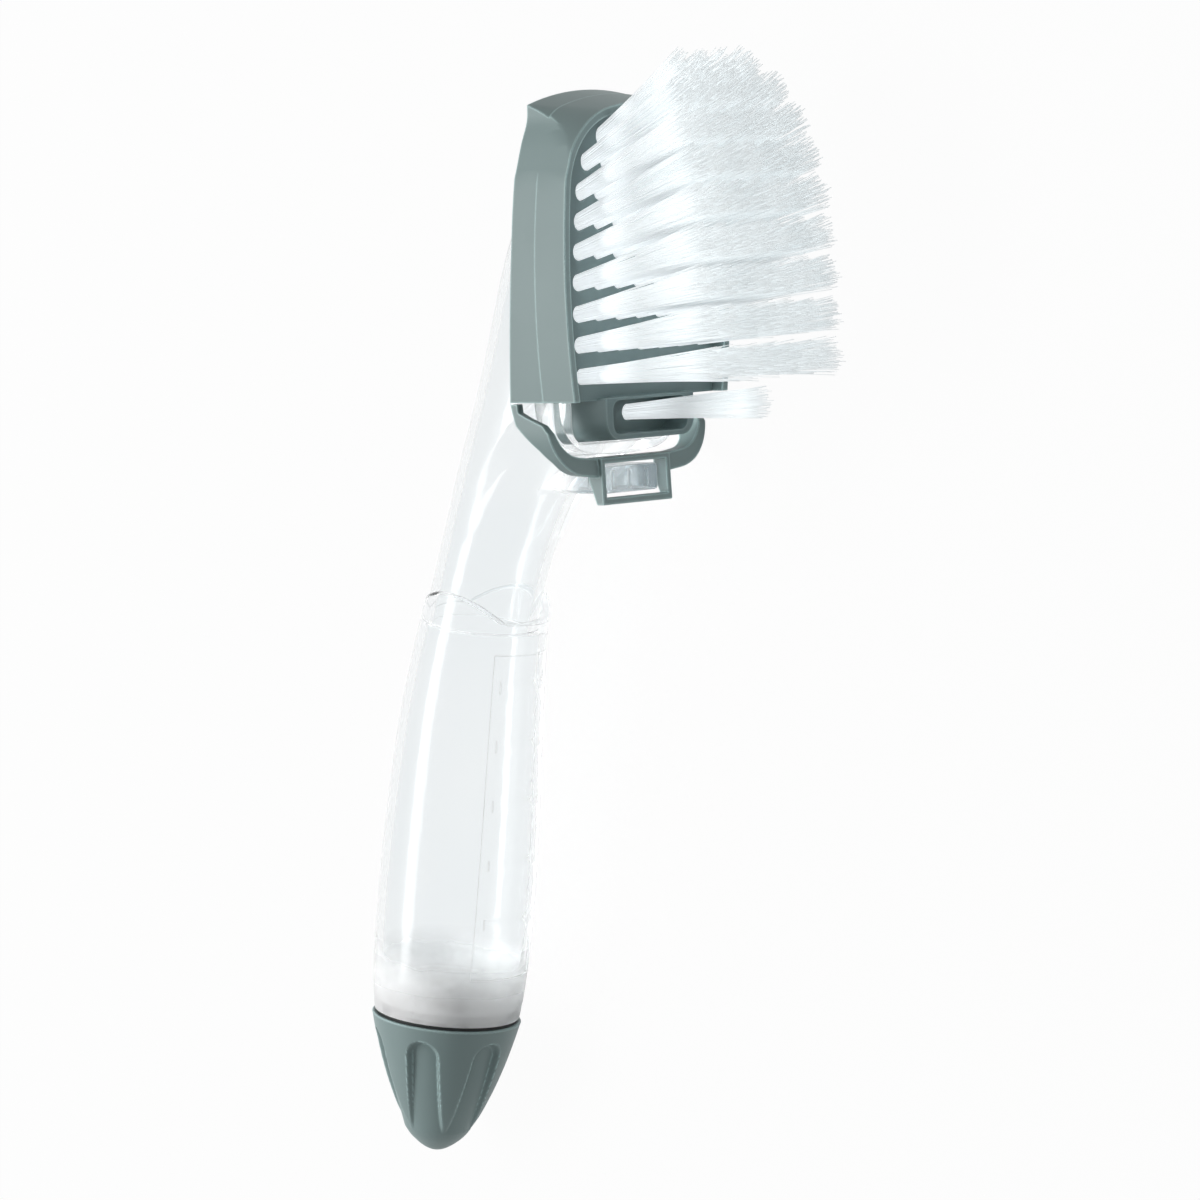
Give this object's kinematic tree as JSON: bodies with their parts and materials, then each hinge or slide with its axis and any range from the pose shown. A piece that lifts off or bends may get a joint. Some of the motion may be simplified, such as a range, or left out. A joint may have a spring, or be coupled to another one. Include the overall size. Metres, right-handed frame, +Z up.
{
  "type": "dish wand",
  "caption": "Dish washing brush with a clear refillable handle, a clip-on grey head of white nylon tufts and a fluted screw cap.",
  "frame": {"origin": "centre of the part's box on the surface it lies on, lying on its side", "axes": "+X along the wand from the cap to the tip of the brush head, -Y the way the bristles point, +Z up from the surface"},
  "size_m": [0.2674, 0.127, 0.0622],
  "materials": {
    "clear_plastic": "clear, polished",
    "grey_plastic": "satin moulded",
    "dark_plastic": "satin moulded",
    "silicone": "matte",
    "steel": "drawn wire",
    "nylon": "translucent bristle"
  },
  "bodies": {
    "handle": {"handle_reservoir": "clear_plastic", "outlet_valve": "silicone", "valve_collar": "dark_plastic"},
    "gasket": {"cap_gasket": "silicone"},
    "cap": {"end_cap": "grey_plastic"},
    "head": {"head_shell": "grey_plastic", "tuft_block": "dark_plastic", "tuft_anchors": "steel", "toe_tuft": "nylon", "tuft_row_1": "nylon", "tuft_row_2": "nylon", "tuft_row_3": "nylon", "tuft_row_4": "nylon", "tuft_row_5": "nylon", "tuft_row_6": "nylon", "tuft_row_7": "nylon", "tuft_row_8": "nylon", "tuft_row_9": "nylon"},
    "strap": {"release_strap": "grey_plastic"}
  },
  "joints": [
    {"name": "cap_travel", "type": "slide", "parent": "handle", "child": "gasket", "axis": [-0.9851, 0.1547, -0.0757], "range_m": [0, 0.00375]},
    {"name": "cap_turn", "type": "hinge", "parent": "gasket", "child": "cap", "pos_m": [-0.09952, 0.0455, 0.01811], "axis": [-0.9851, 0.1547, -0.0757], "range_deg": [0, 450]},
    {"name": "head_lift", "type": "slide", "parent": "handle", "child": "head", "axis": [0, -1, 0], "range_m": [0, 0.03]},
    {"name": "strap_flex", "type": "hinge", "parent": "head", "child": "strap", "pos_m": [0.04725, -0.008, 0.02939], "axis": [-0.0766, 0, 0.9971], "range_deg": [0, 6], "stiffness_Nm_per_rad": 1}
  ],
  "couplings": [
    {"joint": "cap_travel", "follows": "cap_turn", "m_per_rad": 0.00047746}
  ]
}
